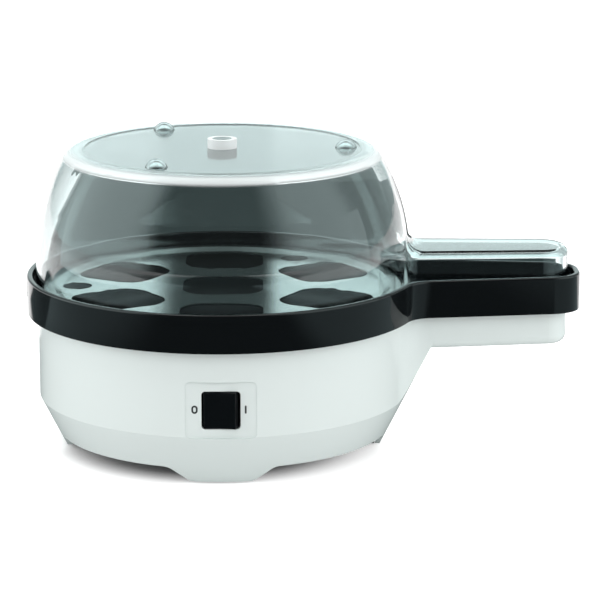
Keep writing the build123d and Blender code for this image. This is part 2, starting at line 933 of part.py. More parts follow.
def make_live_wire():
    """From the terminal block to the switch."""
    start = block_port(-1)
    return wire([
        start, (start[0], start[1] - lead_run, start[2]), (-live_lead_side, live_lead_back, start[2]),
        (-live_lead_side, -live_lead_front, lead_rise), switch_port(-1, lead_run), switch_port(-1, slip),
    ])


def make_switched_wire():
    """From the switch to the element's first end."""
    low = element_tip - wire_bend - slip
    return wire([
        switch_port(1, slip), switch_port(1, lead_run),
        (switched_lead_side, -switched_lead_front, lead_rise), (switched_lead_side, switched_lead_back, low),
        (element_port(1, low)[0], element_lead_back, low), element_port(1, low), element_port(1, element_tip),
    ])


def make_return_wire():
    """From the element's other end to the thermostat."""
    low = element_tip - wire_bend - slip
    blade = -thermostat_radius / 2
    return wire([
        element_port(0, element_tip), element_port(0, low), (-return_lead_side, element_lead_back, low),
        (0, blade, low), (0, blade, thermostat_tip),
    ])


def make_neutral_wire():
    """From the thermostat back to the terminal block."""
    start = block_port(1)
    blade = thermostat_radius / 2
    return wire([
        start, (start[0], neutral_lead_back, start[2]), (0, blade, start[2]), (0, blade, thermostat_tip),
    ])


def egg_turns():
    """Six openings round the middle one, each turned with its place."""
    return around(egg_count, egg_first_angle)


def make_egg_tray():
    """Drawn tray with seven rounded egg openings and three small steam holes."""
    rim_bottom = bowl_flange_top
    rim_top = rim_bottom + tray_sheet
    low = tray_floor_top - tray_sheet
    tray = lathe([
        (0, low), (tray_floor_radius, low), (tray_slope_radius, rim_bottom), (tray_rim_radius, rim_bottom),
        (tray_rim_radius, rim_top), (tray_slope_radius, rim_top), (tray_floor_radius, tray_floor_top),
        (0, tray_floor_top),
    ])
    opening = slab(
        RectangleRounded(egg_opening, egg_opening, egg_corner), low - overcut, rim_top + overcut
    )
    tray -= opening
    for turn in egg_turns():
        tray -= turn * Pos(egg_circle, 0) * opening
    hole = slab(Circle(steam_hole_radius), low - overcut, rim_top + overcut)
    for turn in around(steam_hole_count, steam_hole_first_angle):
        tray -= turn * Pos(steam_hole_circle, 0) * hole
    return tray


def dome_solid(wall):
    """The lid's round body, drawn in by a wall: upright, then one arc, then flat."""
    radius = lid_radius - wall
    top = lid_top - wall
    rise = lid_shoulder_height - lid_arc_start
    draw_in = lid_radius - lid_shoulder_radius
    bend = (draw_in ** 2 + rise ** 2) / (2 * draw_in)
    bend_centre = lid_radius - bend
    bend -= wall
    end_angle = asin((top - lid_arc_start) / bend)
    arc_end = (bend_centre + bend * cos(end_angle), top)
    arc_middle = (bend_centre + bend * cos(end_angle / 2), lid_arc_start + bend * sin(end_angle / 2))
    outline = Polyline(arc_end, (0, top), (0, deck_top), (radius, deck_top), (radius, lid_arc_start))
    outline += ThreePointArc((radius, lid_arc_start), arc_middle, arc_end)
    face = make_face(outline)
    corner = face.vertices().sort_by_distance(arc_end)[0]
    face = fillet(corner, lid_shoulder_round - wall)
    return Rot(0, 0, 180) * revolve(Plane.XZ * face, Axis.Z)


def cover_solid(wall):
    """The handle cover's block, drawn in by a wall, with rounded upper edges."""
    outline = tapered_bar(lid_radius, cover_root_half, cover_reach, cover_end_half)
    outline = fillet(outline.vertices().sort_by(Axis.X)[-2:], cover_end_round)
    outline = offset(outline, amount=-wall) if wall else outline
    top = lid_cover_top - wall
    block = slab(outline, deck_top, top)
    upper = [e for e in block.edges().filter_by_position(Axis.Z, top, top) if e.center().X > lid_radius / 3]
    return fillet(upper, cover_edge_round - wall / 2)


def from_axis(point):
    return sqrt(point.X ** 2 + point.Y ** 2)


def lid_solid(wall):
    """Dome and handle cover blended into one body along their seam."""
    whole = dome_solid(wall) + cover_solid(wall)
    reach = lid_radius - wall
    seam = []
    for edge in whole.edges():
        points = [edge @ 0, edge @ 0.5, edge @ 1]
        on_dome = all(abs(from_axis(p) - reach) < seam_search for p in points)
        beside_cover = all(p.X > 0 and abs(p.Y) < cover_root_half + seam_search for p in points)
        between = all(p.Z < lid_cover_top + seam_search for p in points)
        off_floor = max(p.Z for p in points) > deck_top + seam_search
        if on_dome and beside_cover and between and off_floor:
            seam.append(edge)
    return fillet(seam, cover_blend + wall)


def make_lid():
    """Clear lid moulded in one: dome, handle cover, steam vent and three bumps."""
    lid = lid_solid(0) - lid_solid(lid_wall)
    disc_top = lid_top - lid_disc_step
    lid -= slab(Circle(lid_disc_radius), disc_top, lid_top + overcut)
    boss_top = disc_top + vent_boss_height
    lid += slab(Circle(vent_boss_radius), disc_top, boss_top)
    lid -= slab(Circle(vent_cup_radius), boss_top - vent_cup_depth, boss_top)
    lid -= slab(Circle(vent_hole_radius), lid_top - 2 * lid_wall, boss_top)
    ball_radius = (bump_radius ** 2 + bump_height ** 2) / (2 * bump_height)
    ball = Pos(bump_circle, 0, disc_top + bump_height - ball_radius) * Sphere(ball_radius)
    cap = ball & slab(Circle(lid_radius), disc_top - slip, lid_top + ball_radius)
    for turn in around(bump_count):
        lid += turn * cap
    return lid


os.makedirs("parts", exist_ok=True)
export(make_base_housing(), "base_housing")
export(make_bottom_cover(), "bottom_cover")
export(make_rubber_feet(), "rubber_feet")
export(make_case_screws(), "case_screws")
export(make_collar(), "collar")
export(make_bowl_seal(), "bowl_seal")
export(make_heating_bowl(), "heating_bowl")
export(make_bowl_straps(), "bowl_straps")
export(make_small_screws(), "small_screws")
export(make_element_plate(), "element_plate")
export(make_heating_element(), "heating_element")
export(make_element_terminals(), "element_terminals")
export(make_thermostat(), "thermostat")
export(make_thermostat_bracket(), "thermostat_bracket")
export(make_thermal_fuse(), "thermal_fuse")
export(make_fuse_clip(), "fuse_clip")
export(make_switch_housing(), "switch_housing")
export(make_switch_terminals(), "switch_terminals")
export(make_switch_rocker(), "switch_rocker")
export(make_terminal_block(), "terminal_block")
export(make_cord_inlet(), "cord_inlet")
export(make_live_wire(), "live_wire")
export(make_switched_wire(), "switched_wire")
export(make_return_wire(), "return_wire")
export(make_neutral_wire(), "neutral_wire")
export(make_egg_tray(), "egg_tray")
export(make_lid(), "lid")
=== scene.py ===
from math import cos, pi, radians, sin, sqrt

import bmesh
import bpy
from mathutils import Matrix, Vector


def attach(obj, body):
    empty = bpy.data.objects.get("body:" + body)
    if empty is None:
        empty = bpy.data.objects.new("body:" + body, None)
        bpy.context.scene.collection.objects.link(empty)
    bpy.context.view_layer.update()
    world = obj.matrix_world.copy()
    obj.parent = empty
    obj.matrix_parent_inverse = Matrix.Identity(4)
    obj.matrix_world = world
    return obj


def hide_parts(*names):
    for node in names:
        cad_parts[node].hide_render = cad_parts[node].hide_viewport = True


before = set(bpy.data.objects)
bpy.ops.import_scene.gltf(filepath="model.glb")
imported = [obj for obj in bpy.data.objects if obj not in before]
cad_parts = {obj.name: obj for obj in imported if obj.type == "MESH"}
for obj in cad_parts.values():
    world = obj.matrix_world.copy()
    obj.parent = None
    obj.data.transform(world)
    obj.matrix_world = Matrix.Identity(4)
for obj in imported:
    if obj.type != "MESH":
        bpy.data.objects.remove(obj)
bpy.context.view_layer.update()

mm = 0.001
axis_x = -39.15 * mm

# Camera
# The photograph was taken with a long lens from the front, a little above the lid,
# with the round part in the left half of the view and the handle in the right half.
camera_distance = 1297.05 * mm
camera_height = 375.39 * mm
camera_turn = radians(0.9)
camera_yaw = radians(1.653)
camera_pitch = radians(13.26)
camera_lens = 163.916
camera_sensor = 36.0
camera_nearest = 0.05
camera_farthest = 50.0

camera_data = bpy.data.cameras.new("camera")
camera_data.lens = camera_lens
camera_data.sensor_width = camera_sensor
camera_data.sensor_fit = "HORIZONTAL"
camera_data.clip_start = camera_nearest
camera_data.clip_end = camera_farthest
camera = bpy.data.objects.new("camera", camera_data)
camera.location = (
    axis_x + camera_distance * sin(camera_turn), -camera_distance * cos(camera_turn), camera_height
)
camera.rotation_euler = (pi / 2 - camera_pitch, 0.0, camera_turn - camera_yaw)
bpy.context.scene.collection.objects.link(camera)
bpy.context.scene.camera = camera
bpy.context.scene.view_settings.view_transform = "Standard"

# Table top
# White painted board, far wider than the view. It is matt and shows the short soft
# shadow under the cooker; outside that, a glow lifts it to the picture's white.
table_half = 8.0
table_white = 0.84
table_lift = 0.60
shade_centre = axis_x - 8 * mm
shade_radius = 57 * mm
lit_radius = 84 * mm


def new_material(name):
    """An empty node material with its nodes, links and output."""
    material = bpy.data.materials.new(name)
    material.use_nodes = True
    nodes = material.node_tree.nodes
    nodes.clear()
    return material, nodes, material.node_tree.links, nodes.new("ShaderNodeOutputMaterial")


def feed(links, socket, value):
    """Gives an input a number, or links it to an output."""
    if isinstance(value, (int, float)):
        socket.default_value = value
    else:
        links.new(value, socket)


def math_node(nodes, links, operation, first, second):
    """One Math node; each input is a number or a socket."""
    node = nodes.new("ShaderNodeMath")
    node.operation = operation
    feed(links, node.inputs[0], first)
    feed(links, node.inputs[1], second)
    return node.outputs[0]


def fade(nodes, links, value, start, stop):
    """Goes smoothly from 0 where the value is at start to 1 where it is at stop."""
    node = nodes.new("ShaderNodeMapRange")
    node.interpolation_type = "SMOOTHSTEP"
    links.new(value, node.inputs["Value"])
    if start < stop:
        ends = (start, stop, 0.0, 1.0)
    else:
        ends = (stop, start, 1.0, 0.0)
    for socket, number in zip(("From Min", "From Max", "To Min", "To Max"), ends):
        node.inputs[socket].default_value = number
    return node.outputs["Result"]


def stage_mesh(name, corners):
    """One flat face that belongs to the studio, not to the cooker."""
    mesh = bpy.data.meshes.new(name)
    mesh.from_pydata(corners, [], [tuple(range(len(corners)))])
    piece = bpy.data.objects.new(name, mesh)
    bpy.context.scene.collection.objects.link(piece)
    return piece


def lay_table():
    """The board, with its glow where the cooker's shadow ends."""
    corners = [(x * table_half, y * table_half, 0) for x, y in ((-1, -1), (1, -1), (1, 1), (-1, 1))]
    table = stage_mesh("table_top", corners)
    material, nodes, links, output = new_material("table_paint")
    paint = nodes.new("ShaderNodeBsdfDiffuse")
    paint.inputs["Color"].default_value = (table_white, table_white, table_white, 1)
    path = nodes.new("ShaderNodeLightPath")
    shown = math_node(nodes, links, "MAXIMUM", path.outputs["Is Camera Ray"], path.outputs["Is Glossy Ray"])
    shown = math_node(nodes, links, "MAXIMUM", shown, path.outputs["Is Transmission Ray"])
    offset = nodes.new("ShaderNodeVectorMath")
    offset.operation = "SUBTRACT"
    offset.inputs[1].default_value = (shade_centre, 0, 0)
    links.new(nodes.new("ShaderNodeNewGeometry").outputs["Position"], offset.inputs[0])
    reach = nodes.new("ShaderNodeVectorMath")
    reach.operation = "LENGTH"
    links.new(offset.outputs["Vector"], reach.inputs[0])
    lit = fade(nodes, links, reach.outputs["Value"], shade_radius, lit_radius)
    lift = math_node(nodes, links, "MULTIPLY", lit, table_lift)
    glow = nodes.new("ShaderNodeEmission")
    links.new(math_node(nodes, links, "MULTIPLY", shown, lift), glow.inputs["Strength"])
    both = nodes.new("ShaderNodeAddShader")
    links.new(paint.outputs[0], both.inputs[0])
    links.new(glow.outputs[0], both.inputs[1])
    links.new(both.outputs[0], output.inputs["Surface"])
    table.data.materials.append(material)


lay_table()

# Room
# White to the camera. Glossy faces and the clear lid see a studio that is dark behind
# the camera, with bright sides and a pale back. Its soft edges are angles in degrees,
# with azimuth 0 towards the camera and plus to the right.
room_fill = 0.60
room_front = 0.10
room_left = 2.6
room_right = 2.1
room_tint = (0.84, 1.0, 1.0)
room_right_rear = 0.9
room_rear = 0.55
room_back = 1.25
room_back_top = 0.2
room_through = 1.6
left_edge = (-38, -64)
right_edge = (24, 57)
right_end_edge = (80, 105)
rear_edge = (105, 138)
back_edge = (150, 172)
back_top_edge = (22, 36)


def blend(nodes, links, factor, first, second):
    """The first value where the factor is 0, the second where it is 1."""
    node = nodes.new("ShaderNodeMix")
    links.new(factor, node.inputs["Factor"])
    feed(links, node.inputs["A"], first)
    feed(links, node.inputs["B"], second)
    return node.outputs["Result"]


def fade_angle(nodes, links, angle, edge):
    """A fade over an angle, between two places in degrees."""
    return fade(nodes, links, angle, radians(edge[0]), radians(edge[1]))


def room_walls(nodes, links):
    """How bright the room is in each direction."""
    direction = nodes.new("ShaderNodeTexCoord")
    split = nodes.new("ShaderNodeSeparateXYZ")
    links.new(direction.outputs["Generated"], split.inputs[0])
    nearer = math_node(nodes, links, "MULTIPLY", split.outputs["Y"], -1.0)
    azimuth = math_node(nodes, links, "ARCTAN2", split.outputs["X"], nearer)
    turn = math_node(nodes, links, "ABSOLUTE", azimuth, 0.0)
    level = room_front
    steps = (
        (left_edge, room_left - room_front),
        (right_edge, room_right - room_front),
        (right_end_edge, room_right_rear - room_right),
    )
    for edge, step in steps:
        part = math_node(nodes, links, "MULTIPLY", fade_angle(nodes, links, azimuth, edge), step)
        level = math_node(nodes, links, "ADD", part, level)
    level = blend(nodes, links, fade_angle(nodes, links, turn, rear_edge), level, room_rear)
    low, high = (sin(radians(angle)) for angle in back_top_edge)
    top = fade(nodes, links, split.outputs["Z"], low, high)
    back = math_node(nodes, links, "MULTIPLY", top, room_back_top - room_back)
    back = math_node(nodes, links, "ADD", back, room_back)
    return blend(nodes, links, fade_angle(nodes, links, turn, back_edge), level, back)


def paint_room():
    """Plain white for the camera, an even fill for matt faces, the walls for the rest."""
    world = bpy.data.worlds.new("room")
    bpy.context.scene.world = world
    world.use_nodes = True
    nodes = world.node_tree.nodes
    links = world.node_tree.links
    nodes.clear()
    output = nodes.new("ShaderNodeOutputWorld")
    background = nodes.new("ShaderNodeBackground")
    path = nodes.new("ShaderNodeLightPath")
    through = path.outputs["Is Transmission Ray"]
    mirrored = math_node(nodes, links, "MAXIMUM", path.outputs["Is Glossy Ray"], through)
    walls = room_walls(nodes, links)
    dimmed = math_node(nodes, links, "MINIMUM", walls, room_through)
    level = blend(nodes, links, through, walls, dimmed)
    level = blend(nodes, links, mirrored, room_fill, level)
    level = blend(nodes, links, path.outputs["Is Camera Ray"], level, 1.0)
    links.new(level, background.inputs["Strength"])
    colour = nodes.new("ShaderNodeMix")
    colour.data_type = "RGBA"
    colour.inputs["A"].default_value = (1, 1, 1, 1)
    colour.inputs["B"].default_value = (*room_tint, 1)
    links.new(mirrored, colour.inputs["Factor"])
    links.new(colour.outputs["Result"], background.inputs["Color"])
    links.new(background.outputs[0], output.inputs["Surface"])


paint_room()

# Lamps
# Two wide soft boxes at the sides light the housing's flanks more than its front, with
# weaker ones in front, behind and overhead. Only the overhead one shows as a highlight.
lamp_target = Vector((axis_x, 0, 80 * mm))
power_per_radiance = 4


def hang_lamp(name, azimuth, elevation, distance, width, height, radiance, shows=False):
    """A soft box that faces the cooker; azimuth 0 is the camera's side, plus is right."""
    data = bpy.data.lights.new(name, "AREA")
    data.shape = "RECTANGLE"
    data.size = width
    data.size_y = height
    data.energy = radiance * power_per_radiance * width * height
    lamp = bpy.data.objects.new(name, data)
    flat = distance * cos(radians(elevation))
    place = lamp_target + Vector((
        flat * sin(radians(azimuth)), -flat * cos(radians(azimuth)), distance * sin(radians(elevation))
    ))
    lamp.location = place
    lamp.rotation_euler = (lamp_target - place).to_track_quat("-Z", "Y").to_euler()
    lamp.visible_camera = False
    lamp.visible_glossy = shows
    lamp.visible_transmission = False
    bpy.context.scene.collection.objects.link(lamp)


hang_lamp("left_box", azimuth=-80, elevation=14, distance=1.5, width=1.6, height=0.8, radiance=2.05)
hang_lamp("right_box", azimuth=72, elevation=14, distance=1.5, width=1.4, height=0.8, radiance=1.9)
hang_lamp("front_box", azimuth=12, elevation=38, distance=1.6, width=1.3, height=0.8, radiance=0.9)
hang_lamp("back_box", azimuth=180, elevation=35, distance=1.6, width=1.8, height=0.6, radiance=0.8)
hang_lamp("top_box", azimuth=0, elevation=84, distance=1.4, width=1.2, height=1.0, radiance=1.3, shows=True)

# Cards
# Card stock and bright panels that only mirrors and the clear lid show. Flat ones lie on
# the table before and behind, a dark strip stands behind the tray and two bright walls
# at the sides. Places along X are from the round part's axis.
card_black = (0.09, 0.12, 0.125)
strip_black = (0.045, 0.06, 0.06)
card_dark = (0.05, 0.065, 0.065)
card_grey = (0.108, 0.13, 0.128)
ring_side_grey = (0.46, 0.60, 0.62)
card_lift = 0.5 * mm
edge_blur = 10 * mm
edge_steps = 24
front_card_near = -900 * mm
back_card_near = 300 * mm
disc_card_far = 1000 * mm
shoulder_near = 700 * mm
shoulder_bend = 4.5
strip_y = 118 * mm
strip_top = 150 * mm
wall_top = 300 * mm


def dye_card(card, shade, ends, soft, outside=None, top=None, strength=1.0):
    """The shade holds between two places along X; outside them another, or nothing.

    Only mirrored and refracted rays meet the card; it takes and throws no light.
    """
    material, nodes, links, output = new_material(card.name)
    where = nodes.new("ShaderNodeNewGeometry")
    split = nodes.new("ShaderNodeSeparateXYZ")
    links.new(where.outputs["Position"], split.inputs[0])
    start, stop = (axis_x + end for end in ends)
    left = fade(nodes, links, split.outputs["X"], start - soft[0], start + soft[0])
    right = fade(nodes, links, split.outputs["X"], stop + soft[1], stop - soft[1])
    inside = math_node(nodes, links, "MULTIPLY", left, right)
    if top is not None:
        below = fade(nodes, links, split.outputs["Z"], top[1], top[0])
        inside = math_node(nodes, links, "MULTIPLY", inside, below)
    face = nodes.new("ShaderNodeEmission")
    face.inputs["Color"].default_value = (*shade, 1)
    face.inputs["Strength"].default_value = strength
    if outside is None:
        rest = nodes.new("ShaderNodeBsdfTransparent")
    else:
        rest = nodes.new("ShaderNodeEmission")
        rest.inputs["Color"].default_value = (*outside, 1)
    both = nodes.new("ShaderNodeMixShader")
    links.new(inside, both.inputs["Fac"])
    links.new(rest.outputs[0], both.inputs[1])
    links.new(face.outputs[0], both.inputs[2])
    links.new(both.outputs[0], output.inputs["Surface"])
    card.data.materials.append(material)
    card.visible_camera = False
    card.visible_diffuse = False
    card.visible_shadow = False


def flat_card(name, left, right, near, far, level=card_lift):
    """A rectangle on the table."""
    corners = ((left, near), (right, near), (right, far), (left, far))
    return stage_mesh(name, [(axis_x + x, y, level) for x, y in corners])


def standing_card(name, start, stop, low, high):
    """An upright rectangle over a line on the table."""
    corners = ((start, low), (stop, low), (stop, high), (start, high))
    return stage_mesh(name, [(axis_x + x, y, level) for (x, y), level in corners])


def card_behind(name, left, right, near, far, shade):
    """A card on the table behind; its near and far edges are functions of X."""
    places = [left + (right - left) * step / edge_steps for step in range(edge_steps + 1)]
    front = [(axis_x + x, near(x), card_lift) for x in places]
    rear = [(axis_x + x, far(x), card_lift) for x in reversed(places)]
    dye_card(stage_mesh(name, front + rear), shade, (left, right), (edge_blur, edge_blur))


def shoulder_line(x):
    """Where the picture sees the table over the lid's shoulder."""
    return shoulder_near + shoulder_bend * x * x


front_card = flat_card("front_card", left=-700 * mm, right=700 * mm, near=front_card_near, far=200 * mm)
dye_card(
    front_card, card_black, ends=(-290 * mm, 275 * mm), soft=(90 * mm, 42 * mm), outside=ring_side_grey
)

far_front_card = flat_card(
    "far_front_card", left=-2500 * mm, right=2500 * mm, near=-7500 * mm, far=front_card_near
)
dye_card(far_front_card, card_black, ends=(-1500 * mm, 1500 * mm), soft=(700 * mm, 700 * mm))

card_behind(
    "back_card", left=-165 * mm, right=260 * mm, near=lambda x: back_card_near, far=shoulder_line,
    shade=card_dark
)
card_behind(
    "disc_card", left=-200 * mm, right=200 * mm, near=shoulder_line, far=lambda x: disc_card_far,
    shade=card_grey
)

strip_card = standing_card(
    "strip_card", start=(-60 * mm, strip_y), stop=(60 * mm, strip_y), low=card_lift, high=strip_top
)
dye_card(strip_card, strip_black, ends=(-36 * mm, 25 * mm), soft=(9 * mm, 5 * mm), top=(138 * mm, 148 * mm))

rear_card = flat_card(
    "rear_card", left=-420 * mm, right=-210 * mm, near=120 * mm, far=270 * mm, level=2 * card_lift
)
dye_card(rear_card, card_black, ends=(-400 * mm, -225 * mm), soft=(15 * mm, 15 * mm))

left_wall = standing_card(
    "left_wall", start=(-430 * mm, -620 * mm), stop=(-700 * mm, 250 * mm), low=0, high=wall_top
)
dye_card(left_wall, room_tint, ends=(-900 * mm, -500 * mm), soft=(10 * mm, 60 * mm), strength=room_left)
left_wall.visible_transmission = False

right_wall = standing_card(
    "right_wall", start=(420 * mm, -640 * mm), stop=(660 * mm, 60 * mm), low=0, high=wall_top
)
dye_card(right_wall, room_tint, ends=(470 * mm, 900 * mm), soft=(60 * mm, 10 * mm), strength=room_right)
right_wall.visible_transmission = False

# Bottom cover and feet
# Matt black polypropylene plate with four foot boxes and rubber buttons pressed into
# them. Four zinc-plated screws hold it up against the housing.
cover_black = (0.022, 0.023, 0.025)
rubber_black = (0.018, 0.018, 0.018)
zinc_grey = (0.58, 0.59, 0.60)
grain_detail = 3.0
cloud_detail = 2.0
cloud_size = 35.0


def group_shell(name, inputs, outputs):
    """An empty node group with named number sockets; inputs are (name, default) pairs."""
    group = bpy.data.node_groups.new(name, "ShaderNodeTree")
    for socket, default in inputs:
        made = group.interface.new_socket(name=socket, in_out="INPUT", socket_type="NodeSocketFloat")
        made.default_value = default
    for socket in outputs:
        group.interface.new_socket(name=socket, in_out="OUTPUT", socket_type="NodeSocketFloat")
    enter = group.nodes.new("NodeGroupInput")
    leave = group.nodes.new("NodeGroupOutput")
    return group, enter, leave


def make_moulding_grain():
    """Fine grain of a moulded face: a height for bump, and roughness round a middle value."""
    group, enter, leave = group_shell(
        "moulding_grain",
        (("Grain Size", 900.0), ("Cloud Size", cloud_size), ("Middle", 0.4), ("Spread", 0.1)),
        ("Height", "Roughness"),
    )
    nodes = group.nodes
    links = group.links
    where = nodes.new("ShaderNodeTexCoord")
    grain = nodes.new("ShaderNodeTexNoise")
    grain.inputs["Detail"].default_value = grain_detail
    links.new(where.outputs["Object"], grain.inputs["Vector"])
    links.new(enter.outputs["Grain Size"], grain.inputs["Scale"])
    links.new(grain.outputs["Fac"], leave.inputs["Height"])
    cloud = nodes.new("ShaderNodeTexNoise")
    cloud.inputs["Detail"].default_value = cloud_detail
    links.new(where.outputs["Object"], cloud.inputs["Vector"])
    links.new(enter.outputs["Cloud Size"], cloud.inputs["Scale"])
    swing = math_node(nodes, links, "SUBTRACT", cloud.outputs["Fac"], 0.5)
    swing = math_node(nodes, links, "MULTIPLY", swing, enter.outputs["Spread"])
    links.new(math_node(nodes, links, "ADD", swing, enter.outputs["Middle"]), leave.inputs["Roughness"])
    return group


moulding_grain = make_moulding_grain()


def grained_material(name, colour, grain, rough, spread, depth, metallic=0.0, specular=0.5):
    """A Principled surface whose roughness and bump come from the moulding grain."""
    material, nodes, links, output = new_material(name)
    shader = nodes.new("ShaderNodeBsdfPrincipled")
    shader.inputs["Base Color"].default_value = (*colour, 1)
    shader.inputs["Metallic"].default_value = metallic
    shader.inputs["Specular IOR Level"].default_value = specular
    face = nodes.new("ShaderNodeGroup")
    face.node_tree = moulding_grain
    face.inputs["Grain Size"].default_value = grain
    face.inputs["Middle"].default_value = rough
    face.inputs["Spread"].default_value = spread
    bump = nodes.new("ShaderNodeBump")
    bump.inputs["Distance"].default_value = depth
    links.new(face.outputs["Height"], bump.inputs["Height"])
    links.new(bump.outputs["Normal"], shader.inputs["Normal"])
    links.new(face.outputs["Roughness"], shader.inputs["Roughness"])
    links.new(shader.outputs[0], output.inputs["Surface"])
    return material


def finish_node(name, material):
    """Gives a CAD node its material, in every slot."""
    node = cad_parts[name]
    node.data.materials.clear()
    node.data.materials.append(material)


finish_node("bottom_cover", grained_material(
    "cover_plastic", cover_black, grain=700, rough=0.45, spread=0.12, depth=0.04 * mm
))
finish_node("rubber_feet", grained_material(
    "foot_rubber", rubber_black, grain=1200, rough=0.7, spread=0.15, depth=0.06 * mm
))
zinc_plate = grained_material(
    "zinc_plate", zinc_grey, grain=1500, rough=0.32, spread=0.15, depth=0.01 * mm, metallic=1.0
)
finish_node("case_screws", zinc_plate)

# White housing
# Glossy cool-white ABS, moulded in one: round body, handle arm, legs and a flat panel
# for the switch. The bowl and the ring are mounted in it from above.
housing_white = (0.70, 0.765, 0.75)

finish_node("base_housing", grained_material(
    "white_plastic", housing_white, grain=420, rough=0.20, spread=0.06, depth=0.006 * mm
))

# Switch marks
# "0" and "I" pad-printed in black on the switch's panel, at the rocker's two sides.
mark_black = (0.02, 0.025, 0.025)
mark_offset = 11.75 * mm
mark_centre = axis_x - 0.4 * mm
mark_height = 3.9 * mm
mark_width = 2.9 * mm
mark_stroke = 0.82 * mm
mark_level = 38.9 * mm
panel_y = -88.0 * mm
mark_proud = 0.03 * mm
zero_steps = 40
bar_end_steps = 12

mark_ink = grained_material("mark_ink", mark_black, grain=1500, rough=0.4, spread=0.1, depth=0.01 * mm)


def place_mesh(name, vertices, faces, material, body):
    """A new piece from vertices and faces, which rides on a body."""
    mesh = bpy.data.meshes.new(name)
    mesh.from_pydata(vertices, [], faces)
    mesh.update()
    mesh.materials.append(material)
    piece = bpy.data.objects.new(name, mesh)
    bpy.context.scene.collection.objects.link(piece)
    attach(piece, body)


def print_zero():
    """A narrow ring with straight sides, as a printed nought."""
    outer = []
    inner = []
    straight = (mark_height - mark_width) / 2
    for step in range(zero_steps):
        angle = 2 * pi * step / zero_steps
        shift = straight if sin(angle) >= 0 else -straight
        for loop, radius in ((outer, mark_width / 2), (inner, mark_width / 2 - mark_stroke)):
            loop.append((
                mark_centre - mark_offset + radius * cos(angle), panel_y - mark_proud,
                mark_level + shift + radius * sin(angle),
            ))
    faces = []
    for step in range(zero_steps):
        after = (step + 1) % zero_steps
        faces.append((step, after, zero_steps + after, zero_steps + step))
    place_mesh("mark_off", outer + inner, faces, mark_ink, "base")


def print_bar():
    """A short upright bar with rounded ends."""
    loop = []
    radius = mark_stroke / 2
    reach = mark_height / 2 - radius
    for end in (1, -1):
        for step in range(bar_end_steps + 1):
            angle = pi * step / bar_end_steps
            loop.append((
                mark_centre + mark_offset + end * radius * cos(angle), panel_y - mark_proud,
                mark_level + end * (reach + radius * sin(angle)),
            ))
    place_mesh("mark_on", loop, [tuple(range(len(loop)))], mark_ink, "base")


print_zero()
print_bar()

# Switch
# Black rocker on two pins in a snap-in body behind the panel, with two tinned brass
# blades at its back.
rocker_black = (0.002, 0.003, 0.004)
rocker_specular = 0.2
brass_yellow = (0.78, 0.62, 0.35)

finish_node("switch_rocker", grained_material(
    "rocker_plastic", rocker_black, grain=1400, rough=0.24, spread=0.08, depth=0.01 * mm,
    specular=rocker_specular
))
finish_node("switch_housing", grained_material(
    "switch_body", cover_black, grain=900, rough=0.5, spread=0.1, depth=0.03 * mm
))
finish_node("switch_terminals", grained_material(
    "blade_brass", brass_yellow, grain=1300, rough=0.3, spread=0.12, depth=0.01 * mm, metallic=1.0
))

# Cord inlet and leads
# Rubber bush in the back wall, a three-way block on the bottom cover, and the leads in
# heat-proof sleeving.
block_cream = (0.72, 0.72, 0.68)
sleeve_red = (0.42, 0.07, 0.045)

finish_node("cord_inlet", grained_material(
    "inlet_rubber", rubber_black, grain=1100, rough=0.62, spread=0.12, depth=0.05 * mm
))
finish_node("terminal_block", grained_material(
    "block_plastic", block_cream, grain=800, rough=0.5, spread=0.1, depth=0.03 * mm
))
lead_sleeve = grained_material(
    "lead_sleeve", sleeve_red, grain=900, rough=0.55, spread=0.15, depth=0.08 * mm
)
for lead in ("live_wire", "switched_wire", "return_wire", "neutral_wire"):
    finish_node(lead, lead_sleeve)

# Heater
# Cast aluminium plate with a tubular element let into it, a disc thermostat under a
# steel bracket and a thermal fuse in its clip.
cast_grey = (0.56, 0.57, 0.58)
sheath_grey = (0.20, 0.19, 0.18)
ceramic_cream = (0.70, 0.66, 0.58)
fuse_cream = (0.75, 0.73, 0.66)

finish_node("element_plate", grained_material(
    "cast_plate", cast_grey, grain=500, rough=0.5, spread=0.2, depth=0.12 * mm, metallic=1.0
))
finish_node("heating_element", grained_material(
    "element_sheath", sheath_grey, grain=900, rough=0.42, spread=0.2, depth=0.03 * mm, metallic=1.0
))
finish_node("element_terminals", zinc_plate)
finish_node("thermostat", grained_material(
    "thermostat_ceramic", ceramic_cream, grain=700, rough=0.6, spread=0.1, depth=0.04 * mm
))
finish_node("thermostat_bracket", zinc_plate)
finish_node("thermal_fuse", grained_material(
    "fuse_case", fuse_cream, grain=900, rough=0.45, spread=0.1, depth=0.02 * mm
))
finish_node("fuse_clip", zinc_plate)

# Heated bowl
# Drawn steel bowl with a dark non-stick coat, clamped by three straps on a silicone
# seal. The eggs' lower ends stand over its water.
coat_black = (0.022, 0.026, 0.027)
seal_grey = (0.40, 0.40, 0.40)

finish_node("heating_bowl", grained_material(
    "bowl_coat", coat_black, grain=800, rough=0.40, spread=0.1, depth=0.03 * mm
))
finish_node("bowl_seal", grained_material(
    "seal_silicone", seal_grey, grain=700, rough=0.6, spread=0.1, depth=0.03 * mm
))
finish_node("bowl_straps", zinc_plate)
finish_node("small_screws", zinc_plate)

# Black ring
# Gloss-black ABS band that caps the housing and runs out round the handle. Hooks under
# its deck snap into the housing.
ring_black = (0.002, 0.0025, 0.003)
ring_specular = 0.33

finish_node("collar", grained_material(
    "ring_plastic", ring_black, grain=300, rough=0.08, spread=0.04, depth=0.003 * mm,
    specular=ring_specular
))

# Egg tray
# Thin pressed aluminium plate that lies on the bowl's flange. The rims of its seven egg
# openings and three steam holes are rolled down.
tray_silver = (0.47, 0.50, 0.49)

finish_node("egg_tray", grained_material(
    "tray_metal", tray_silver, grain=900, rough=0.17, spread=0.08, depth=0.01 * mm, metallic=1.0
))

